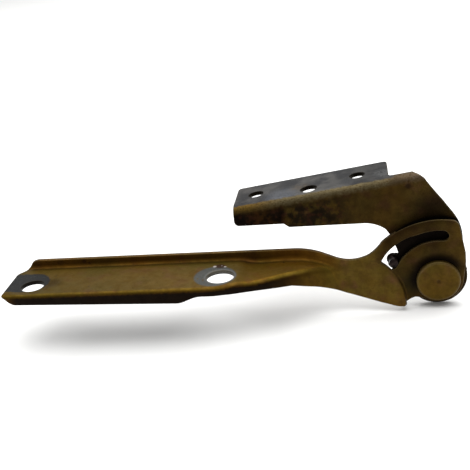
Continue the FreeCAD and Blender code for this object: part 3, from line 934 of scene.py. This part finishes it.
# %% Yellow zinc passivate
GOLD = (0.098, 0.056, 0.0055)
OLIVE = (0.075, 0.051, 0.0060)
ROSE = (0.092, 0.043, 0.0120)
BROWN = (0.016, 0.008, 0.003)
PALE = (0.120, 0.090, 0.042)
# Near black: real grease and grime, and also the colour of painted shade in corners, hole walls and
# behind the sector.
GREASE_AND_SHADE = (0.0030, 0.0019, 0.0014)
RUST = (0.026, 0.009, 0.004)


def yellow_zinc(finish, tint):
    """Plating colour, its roughness, and the grain that the bump reads."""
    drift = finish.fade(finish.noise(0.035, 4.0, shift=3.0), 0.35, 0.68)
    rosy = finish.fade(finish.noise(0.11, 3.0, shift=11.0), 0.5, 0.72)
    cloud = finish.fade(finish.noise(0.20, 5.0, shift=7.0, roughness=0.62), 0.34, 0.70)
    grain = finish.noise(1.6, 4.0, shift=5.0, roughness=0.7)
    colour = finish.mix(drift, OLIVE, GOLD)
    colour = finish.mix(rosy * 0.55, colour, ROSE)
    colour = finish.shade(cloud * 0.55, colour, (0.62, 0.55, 0.48))
    colour = finish.shade(finish.fade(grain, 0.38, 0.74) * 0.35, colour, (0.6, 0.56, 0.5))
    colour = finish.shade(1.0, colour, tint)
    roughness = 0.40 + 0.16 * cloud + 0.10 * grain
    return colour, roughness, grain


print("plating colours, from gold to rust:", GOLD, RUST)

# %% [markdown]
# The arm isn't one colour. The corner beside the back flange is browner and darker, which is painted
# shade, and the narrowing web is paler. The sector is darkest, which is painted shade where it stands
# back behind the foot, with painted shadow along the foot's rim and round the rivet head, and painted
# light on its right side.

# %% Arm: tints, painted shade and painted light
def arm_tints_and_painted_shade(finish, colour):
    """Tints each area of the arm, mostly painted shade and painted light; a mask is a product of fades
    along its limits.
    """
    # Painted shade: the back flange's inner face and its bend are darkened and browned.
    corner = finish.fade(finish.y, -2.5, -0.3) * finish.fade(finish.x, -52.0, -60.0)
    colour = finish.shade(corner, colour, (0.98, 0.74, 0.70))
    # Painted shade over the highlight of the inside bend.
    crease_shade = finish.fade(finish.y, -3.4, -2.0) * finish.fade(finish.y, -0.4, -1.2)
    crease_shade = crease_shade * finish.fade(finish.x, -60.0, -75.0)
    colour = finish.shade(crease_shade * 0.8, colour, (0.62, 0.62, 0.75))
    narrow_web = finish.fade(finish.x, -112.0, -98.0) * finish.fade(finish.x, -50.0, -66.0)
    narrow_web = narrow_web * finish.fade(finish.y, -1.6, -3.4)
    narrow_web = narrow_web * finish.fade(finish.stored("under_web"), 0.6, 0.1)
    colour = finish.shade(narrow_web, colour, (1.55, 1.40, 1.25))
    foot_on = finish.fade(finish.x, -62.0, -48.0)
    colour = finish.shade(foot_on, colour, (1.24, 1.20, 1.75))
    pinkish = foot_on * finish.fade(finish.noise(0.13, 3.0, shift=51.0), 0.45, 0.68)
    colour = finish.shade(pinkish * 0.6, colour, (0.80, 0.68, 1.1))
    radius = finish.from_axis()
    # Painted shade: the sector, standing back behind the foot and under the web, is darkened.
    level = finish.fade(finish.stored("past_foot"), 0.2, 1.6) * finish.fade(finish.x, -37.0, -27.0)
    colour = finish.shade(level, colour, (0.36, 0.345, 0.36))
    # Painted light: the sector's part right of the pivot is brightened.
    right = level * finish.fade(finish.x, 2.0, 12.0)
    colour = finish.shade(right, colour, (1.35, 1.40, 1.45))
    # Painted shade on the sector's outer band, left of the pivot.
    neck_shade = level * finish.fade(radius, 28.0, 31.0) * finish.fade(finish.x, 6.0, -6.0)
    colour = finish.shade(neck_shade, colour, (0.72, 0.68, 0.70))
    # Painted shadow, greenish, on the plate between the foot and the rivet head.
    shade_foot_to_head = level * finish.spot(-15.0, 0.0, -3.0, 10.0, 7.0)
    colour = finish.shade(shade_foot_to_head, colour, (0.62, 0.74, 1.0))
    # Painted shade: a dark line along the foot's rim, where the sector steps back.
    past_foot = finish.stored("past_foot")
    rim_shade = finish.fade(past_foot, 1.8, 0.3) * finish.fade(past_foot, -0.6, 0.2)
    rim_shade = rim_shade * finish.fade(finish.x, -40.0, -30.0)
    colour = finish.mix(rim_shade * 0.5, colour, GREASE_AND_SHADE)
    # Painted shadow round the top and left of the rivet head.
    seat = level * finish.fade(radius, 18.5, 13.0) * finish.fade(finish.z + finish.x * -0.5, -6.0, 6.0)
    return finish.mix(seat * 0.9, colour, GREASE_AND_SHADE)


print("the arm's tints lie over", GOLD)

# %% [markdown]
# The front flange is darkened from its bend down, painted shade under the web's edge, and rust stains
# show on the back one.

# %% Arm: painted shade below and rust stains above
RUST_STAINS = ((-232.0, 20.0, 6.0, 0.35), (-201.5, 20.8, 2.0, 0.8), (-198.5, 19.4, 1.3, 0.7),
               (-216.0, 20.6, 3.0, 0.4), (-104.0, 19.5, 8.0, 0.45))


def arm_flange_shade_and_rust(finish, colour, ragged, fine):
    """Darkens the front flange from its bend down, painted shade under the web's edge, then adds the
    rust stains.
    """
    under = finish.stored("under_web")
    # Painted shade: the front flange is darkened from its bend down.
    hanging = finish.fade(under, 0.5, 2.2) * finish.fade(finish.x, -58.0, -82.0)
    colour = finish.shade(hanging, colour, (0.50, 0.38, 0.36))
    # Painted shade: its lower part turns near black, with a ragged edge.
    lower = finish.fade(under + ragged * -1.6, 0.1, 1.8) * finish.fade(finish.x, -70.0, -96.0)
    lower = lower * finish.fade(finish.x, -239.0, -231.0)
    colour = finish.mix(lower * 0.93, colour, GREASE_AND_SHADE)
    for flaw_x, flaw_z, flaw_r, strength in RUST_STAINS:
        stain = finish.spot(flaw_x, 0.0, flaw_z, flaw_r, flaw_r * 0.7) * finish.fade(fine, 0.3, 0.5)
        colour = finish.mix(stain * strength, colour, RUST)
    return colour, lower


print(len(RUST_STAINS), "rust stains on the arm's back flange")

# %% [markdown]
# The bolts have left their marks: bare metal round the end hole, a grey ring where the washer
# sat, a little off the hole's centre, and chipped paint beside it.

# %% Arm: marks of the bolts
PAINT_CHIPS = ((-123.2, -7.6, 1.25), (-119.2, -7.0, 0.6), (-117.2, -8.3, 1.0))


def bolt_marks(finish, colour, ragged, fine):
    """Bare metal at the end hole, then the washer's ring, its rim and the chips at the large one."""
    end_pad = finish.column(FRONT_HOLE[0] - 2.6, FRONT_HOLE[1] + 3.0, 0.0, 12.4, 2.2)
    end_strip = finish.fade(finish.x + ragged * 3.0, -229.5, -233.0)
    end_strip = end_strip * finish.fade(finish.y, -30.5, -27.0) * finish.fade(finish.y, -5.5, -9.5)
    bare = finish.fade(end_pad + end_strip + (ragged - 0.5) * 1.1, 0.30, 0.80)
    bare = bare * finish.fade(finish.y, -30.0, -28.2) * finish.fade(finish.z, 18.6, 17.8)
    bare_steel = finish.mix(finish.fade(fine, 0.32, 0.68), (0.008, 0.008, 0.009), (0.030, 0.030, 0.028))
    colour = finish.mix(bare, colour, bare_steel)
    dirt = finish.spot(-214.8, -20.0, 17.4, 7.5, 5.5) * finish.fade(finish.x, -219.5, -216.5)
    colour = finish.shade(dirt, colour, (0.62, 0.58, 0.5))
    washer_mark = finish.column(REAR_HOLE[0] - 3.0, REAR_HOLE[1] + 0.5, 0.0, 12.3, 1.4)
    washer_mark = washer_mark * finish.fade(finish.y, -33.0, -31.8)
    washer_mark = washer_mark * finish.fade(finish.x, -95.0, -100.0)
    mark = washer_mark * finish.fade(ragged, 0.2, 0.42)
    grey = finish.mix(finish.fade(fine, 0.3, 0.7), (0.026, 0.031, 0.033), (0.084, 0.087, 0.082))
    colour = finish.mix(mark * 0.92, colour, grey)
    rim = finish.column(REAR_HOLE[0], REAR_HOLE[1], 6.0, 9.4, 0.8) * finish.fade(finish.z, 12.0, 13.5)
    colour = finish.mix(rim * 0.7, colour, (0.090, 0.091, 0.089))
    flaw = finish.spot(-120.2, -7.6, 17.4, 3.6, 1.6) * finish.fade(finish.y, -10.4, -8.9)
    colour = finish.mix(flaw * 0.85, colour, RUST)
    for chip_x, chip_y, chip_r in PAINT_CHIPS:
        chip = finish.spot(chip_x, chip_y, 17.4, chip_r, 0.6)
        colour = finish.mix(chip, colour, (0.34, 0.31, 0.30))
    return colour, bare, mark


print(len(PAINT_CHIPS), "paint chips beside the large hole")

# %% [markdown]
# The finish is those steps in order: tints with painted shade and light, painted shade on the front
# flange with the rust stains, the bolts' marks, then wear on the edges. Where the plating is gone the
# surface is rougher and less like a mirror.

# %% Arm finish
def arm_plating():
    """All steps of the arm, and the bumps that go with them."""
    finish = Finish("arm_plating")
    colour, roughness, grain = yellow_zinc(finish, (1.0, 1.0, 1.0))
    ragged = finish.noise(0.55, 4.0, shift=21.0)
    fine = finish.noise(2.6, 3.0, shift=2.0)
    edge = finish.stored("from_edge")
    colour = arm_tints_and_painted_shade(finish, colour)
    colour, lower = arm_flange_shade_and_rust(finish, colour, ragged, fine)
    colour, bare, mark = bolt_marks(finish, colour, ragged, fine)
    worn = finish.fade(edge + ragged * 0.7, 1.0, 0.35)
    colour = finish.mix(worn * 0.3 * (1 - lower), colour, PALE)
    specks = finish.fade(finish.noise(0.42, 2.0, shift=31.0), 0.70, 0.76)
    colour = finish.mix(specks * 0.75, colour, BROWN)
    # Painted shade on the walls of the end hole.
    end_bore_shade = finish.column(FRONT_HOLE[0], FRONT_HOLE[1], 0.0, FRONT_HOLE_R + 0.5, 0.3)
    colour = finish.mix(end_bore_shade * finish.fade(edge, 0.3, 0.1) * 0.85, colour, GREASE_AND_SHADE)
    metal_bare = finish.fade(bare + mark, 0.0, 1.0)
    metallic = finish.blend(metal_bare, 0.8, 0.55)
    roughness = finish.blend(metal_bare, roughness, 0.5)
    dents = finish.noise(0.07, 2.0, shift=41.0)
    return finish.dress(colour, metallic, roughness,
                        [(dents, 0.5), (ragged, 0.05), (grain, 0.03), (mark, 0.05)])


arm.data.materials.append(arm_plating())

# %% [markdown]
# The bracket's flange was clamped against the lid's paint, so its plating is gone and dull grey
# steel shows, with lighter streaks. The bend is polished by handling and fades from pale
# metal to yellow. Below it, grease and rust have run down the plate's far end.

# %% Bracket: grime on the plate
def plate_grime(finish, colour, drop):
    """Grease and rust in patches, more of them far from the pivot and below the bend."""
    grime = finish.fade(finish.x, -34.0, -62.0) * finish.fade(drop, -2.4, -7.5)
    stains = finish.fade(finish.noise(0.17, 4.0, shift=17.0, roughness=0.65), 0.36, 0.56)
    colour = finish.mix(grime * stains * 0.85, colour, GREASE_AND_SHADE)
    far_left = finish.fade(finish.x, -81.0, -84.0) * finish.fade(drop, -2.0, -6.0)
    colour = finish.shade(far_left, colour, (0.62, 0.45, 0.40))
    black_corner = finish.spot(-110.0, 3.0, 38.0, 13.0, 10.0)
    colour = finish.mix(black_corner * 0.9, colour, GREASE_AND_SHADE)
    rusty = finish.fade(finish.noise(0.30, 3.0, shift=27.0), 0.52, 0.66)
    return finish.mix(grime * rusty * 0.5, colour, RUST), stains


print("flange slope:", round(math.degrees(TILT), 2), "degrees")

# %% [markdown]
# The flange's bare steel isn't even: the panel pressed harder in some places than in others.

# %% Bracket: bare steel of the flange
def bare_flange(finish, ragged, fine):
    """Grey steel, darker towards the pivot, with a tan, a bright and a dark patch."""
    streaks = finish.fade(finish.noise(0.10, 4.0, shift=19.0), 0.36, 0.66)
    steel = finish.mix(streaks, (0.024, 0.025, 0.028), (0.068, 0.066, 0.064))
    steel = finish.shade(finish.fade(fine, 0.45, 0.75) * 0.5, steel, (0.68, 0.68, 0.70))
    steel = finish.shade(finish.fade(finish.x, -60.0, -30.0), steel, (0.55, 0.56, 0.58))
    tan = finish.spot(-74.0, 16.0, 53.0, 7.5, 4.5) * finish.fade(ragged, 0.35, 0.6)
    steel = finish.mix(tan * 0.6, steel, (0.085, 0.068, 0.048))
    bright = finish.spot(-84.0, 9.0, 52.0, 13.0, 9.0)
    steel = finish.mix(bright * finish.fade(fine, 0.3, 0.6) * 0.7, steel, (0.088, 0.096, 0.114))
    dark_spot = finish.spot(-48.0, 12.0, 57.0, 6.0, 4.0)
    steel = finish.mix(dark_spot * 0.6, steel, (0.020, 0.023, 0.028))
    lip = finish.spot(-27.0, 14.0, 60.0, 9.0, 6.0) * finish.fade(fine, 0.42, 0.58)
    steel = finish.mix(lip * 0.7, steel, (0.105, 0.107, 0.108))
    return steel


print("the flange's bare steel has", len(FLANGE_HOLES), "holes in it")

# %% [markdown]
# Now the steps are joined. `drop` is how far a point lies under the flange's top, and it decides
# where bare steel ends, the polished bend begins and the grime starts.

# %% Bracket finish
def bracket_plating():
    """All steps of the bracket: plating, grime, painted shade in the dish, behind the sector and on the
    boss, the bend, then the bare flange.
    """
    finish = Finish("bracket_plating")
    # The plating is tinted darker here, partly painted shade on the bracket's upright plate.
    colour, roughness, grain = yellow_zinc(finish, (0.44, 0.41, 0.62))
    ragged = finish.noise(0.40, 4.0, shift=8.0)
    fine = finish.noise(1.8, 4.0, shift=15.0)
    edge = finish.stored("from_edge")
    side = finish.stored("face_side")
    drop = (finish.z - FLANGE_Z) * math.cos(TILT) - finish.x * math.sin(TILT)
    colour, stains = plate_grime(finish, colour, drop)
    radius = finish.from_axis()
    facing = finish.fade(side, 0.2, 0.4)
    # Painted shade in the plate's dish above the sector.
    dish_shade = finish.spot(-2.0, 3.0, 41.0, 17.0, 15.0) * facing
    colour = finish.shade(dish_shade, colour, (0.30, 0.26, 0.30))
    # Painted shade: the plate behind the sector's slot goes near black, and the boss under it is
    # darkened.
    shade_behind_sector = finish.fade(radius, 37.6, 35.6) * finish.fade(radius, 20.0, 22.0)
    shade_behind_sector = shade_behind_sector * finish.fade(finish.z, 4.0, 12.0) * facing
    boss_shade = finish.fade(radius, 22.0, 19.0) * finish.fade(finish.z, 16.0, 8.0)
    colour = finish.shade(boss_shade, colour, (0.55, 0.55, 0.65))
    colour = finish.mix(shade_behind_sector * 0.96, colour, GREASE_AND_SHADE)
    on_bend = finish.fade(drop + ragged * 3.4, -3.6, 0.4)
    cream = finish.mix(finish.fade(finish.x, -104.0, -80.0), (0.092, 0.054, 0.011),
                       (0.092, 0.073, 0.038))
    cream = finish.mix(finish.fade(finish.x, -30.0, -20.0), cream, (0.066, 0.047, 0.027))
    colour = finish.mix(on_bend * finish.fade(fine, 0.30, 0.52), colour, cream)
    on_top = finish.fade(drop + ragged * 0.9, -0.35, 0.22) * facing
    on_top = on_top * finish.fade(finish.x + ragged * 3.0, -19.0, -23.0)
    colour = finish.mix(on_top * 0.95, colour, bare_flange(finish, ragged, fine))
    # Painted light on the plate's upper right edge, broken up by fine noise.
    rubbed = finish.spot(-9.0, 3.0, 55.0, 11.0, 8.0) * finish.fade(fine, 0.3, 0.6)
    colour = finish.shade(rubbed, colour, (1.5, 1.55, 1.9))
    pit = finish.spot(-15.2, 3.0, 55.4, 2.2, 1.5)
    colour = finish.mix(pit * 0.85, colour, BROWN)
    worn = finish.fade(edge + ragged * 0.8, 1.1, 0.4)
    colour = finish.mix(worn * 0.25 * (1 - shade_behind_sector), colour, PALE)
    wall = finish.fade(edge, 0.3, 0.1)
    # Painted shade on the walls of the flange holes.
    for along, depth, size in FLANGE_HOLES:
        bore_shade = finish.column(along * math.cos(TILT) + HOLES_X, depth, 0.0, size + 0.9, 0.3)
        colour = finish.mix(bore_shade * wall * 0.9, colour, GREASE_AND_SHADE)
    metallic = finish.blend(on_top, 0.75, 0.5)
    roughness = finish.blend(on_top, roughness + 0.05 * stains, 0.52)
    dents = finish.noise(0.06, 2.0, shift=43.0)
    pitted = finish.fade(finish.noise(0.9, 3.0, shift=47.0), 0.30, 0.42)
    return finish.dress(colour, metallic, roughness,
                        [(dents, 0.4), (1 - pit, 0.3), (ragged, 0.06), (grain, 0.03), (pitted, 0.03)])


bracket.data.materials.append(bracket_plating())

# %% [markdown]
# The rivet keeps the cleanest plating, because its head stands proud and is wiped by hands. The
# pin, the bush and the washer are bare: dark oiled steel, bronze and dull zinc.

# %% Rivet, pin, bush and washer finishes
def rivet_plating():
    finish = Finish("rivet_plating")
    colour, roughness, grain = yellow_zinc(finish, (0.84, 0.82, 1.0))
    radius = finish.from_axis()
    ragged = finish.noise(0.8, 4.0, shift=4.0)
    rubbed = finish.fade(radius + ragged * 1.2, 10.9, 12.0) * finish.fade(finish.y, -1.2, -2.4)
    colour = finish.mix(rubbed * 0.3, colour, PALE)
    mark = finish.fade(radius, 1.5, 0.4)
    colour = finish.mix(mark * 0.5, colour, BROWN)
    grease = finish.fade(finish.y, -1.6, 0.0)
    colour = finish.mix(grease * 0.8, colour, BROWN)
    rings = finish.node("ShaderNodeTexNoise", {"noise_dimensions": "1D"},
                        {"W": radius, "Scale": 2.2, "Detail": 3.0})
    dents = finish.noise(0.16, 3.0, shift=6.0)
    return finish.dress(colour, 0.7, roughness - 0.04,
                        [(dents, 0.25), (rings, 0.02), (ragged, 0.04), (grain, 0.03)])


def plain_metal(name, dark, light, metallic, roughness):
    """Bare metal with turning marks round the pivot axis and a mottled film of oil."""
    finish = Finish(name)
    marks = finish.noise(2.4, 3.0, stretch=(1.0, 4.0, 1.0), shift=9.0)
    film = finish.noise(0.5, 4.0, shift=13.0)
    colour = finish.mix(finish.fade(film, 0.3, 0.7), dark, light)
    colour = finish.shade(finish.fade(marks, 0.5, 0.8) * 0.4, colour, (0.6, 0.6, 0.6))
    return finish.dress(colour, metallic, roughness + 0.15 * film, [(film, 0.05), (marks, 0.03)])


rivet.data.materials.append(rivet_plating())
BARE_METALS = ((pin, "pin_steel", (0.006, 0.004, 0.004), (0.026, 0.017, 0.016), 0.7, 0.30),
               (bush, "bush_bronze", (0.13, 0.075, 0.03), (0.26, 0.16, 0.07), 0.8, 0.38),
               (washer, "washer_steel", (0.12, 0.115, 0.105), (0.24, 0.23, 0.21), 0.7, 0.42))
for piece, *look in BARE_METALS:
    piece.data.materials.append(plain_metal(*look))

# %% [markdown]
# ## Floor, light and camera
#
# The hinge stands on a plain pale floor under one large soft light from above, with a weak even
# fill. The floor runs well past the camera's view, so no horizon shows.

# %% Floor
FLOOR_HALF = 6.0
FLOOR_GAP = 0.0005                         # half a millimetre of air under the lowest point
floor_mesh = bpy.data.meshes.new("floor")
lowest = float(cad_low[2]) - FLOOR_GAP
CORNER_SIGNS = ((-1, -1), (1, -1), (1, 1), (-1, 1))
floor_mesh.from_pydata([(a * FLOOR_HALF, b * FLOOR_HALF, lowest) for a, b in CORNER_SIGNS], [],
                       [(0, 1, 2, 3)])
floor = bpy.data.objects.new("floor", floor_mesh)
bpy.context.scene.collection.objects.link(floor)
floor_finish = bpy.data.materials.new("pale_floor")
floor_finish.use_nodes = True
floor_shader = floor_finish.node_tree.nodes["Principled BSDF"]
floor_shader.inputs["Base Color"].default_value = (0.86, 0.86, 0.85, 1)
floor_shader.inputs["Roughness"].default_value = 0.9
floor_shader.inputs["Specular IOR Level"].default_value = 0.1
floor_mesh.materials.append(floor_finish)


print("floor at", round(1000 * lowest, 2), "mm")

# %% [markdown]
# One large lamp close above gives the soft edge between light and shade that plating needs.
# Plated metal mirrors its surroundings, so the even white world is as important as the lamp.

# %% Lights and world
LAMP_PLACE, LAMP_AIM = (0.15, 0.30, 1.5), (0.02, 0.05, 0.0)
LAMP_SIZE, LAMP_POWER = 2.4, 56.0
WORLD_STRENGTH = 0.5


def soft_light(name, place, aim, size, power):
    """A square area light at a place, turned to face the aim."""
    lamp = bpy.data.lights.new(name, "AREA")
    lamp.shape, lamp.size, lamp.energy = "SQUARE", size, power
    holder = bpy.data.objects.new(name, lamp)
    holder.location = place
    away = np.array(place, float) - np.array(aim, float)
    away /= np.linalg.norm(away)
    holder.rotation_euler = (math.acos(away[2]), 0.0, math.atan2(away[0], -away[1]))
    bpy.context.scene.collection.objects.link(holder)


soft_light("overhead", LAMP_PLACE, LAMP_AIM, LAMP_SIZE, LAMP_POWER)
world = bpy.data.worlds.new("studio")
world.use_nodes = True
world.node_tree.nodes["Background"].inputs["Color"].default_value = (1.0, 1.0, 1.0, 1)
world.node_tree.nodes["Background"].inputs["Strength"].default_value = WORLD_STRENGTH
bpy.context.scene.world = world
bpy.context.scene.view_settings.view_transform = "Standard"
print("lamp:", LAMP_SIZE, "m wide,", LAMP_POWER, "W; world", WORLD_STRENGTH)

# %% [markdown]
# The camera looks down on the hinge from the side of the rivet head, a little turned and
# rolled. Its place is in millimetres from the frame's origin, not from the pivot.

# %% Camera
CAMERA_MM = (76.89, -388.13, 200.51)
CAMERA_TURN = (66.0607, 6.0849, 6.9506)
LENS = 61.774
camera_data = bpy.data.cameras.new("camera")
camera_data.lens, camera_data.sensor_width = LENS, 36.0
camera_data.clip_start, camera_data.clip_end = 0.01, 50.0
camera = bpy.data.objects.new("camera", camera_data)
camera.location = [v * MM for v in CAMERA_MM]
camera.rotation_euler = [math.radians(v) for v in CAMERA_TURN]
bpy.context.scene.collection.objects.link(camera)
bpy.context.scene.camera = camera
print("camera", [round(v) for v in CAMERA_MM], "mm, lens", LENS, "mm")

# %% [markdown]
# ## The last update
#
# The looks never change the size. The view layer is brought up to date once all pieces are in.

# %% Update the view layer
bpy.context.view_layer.update()
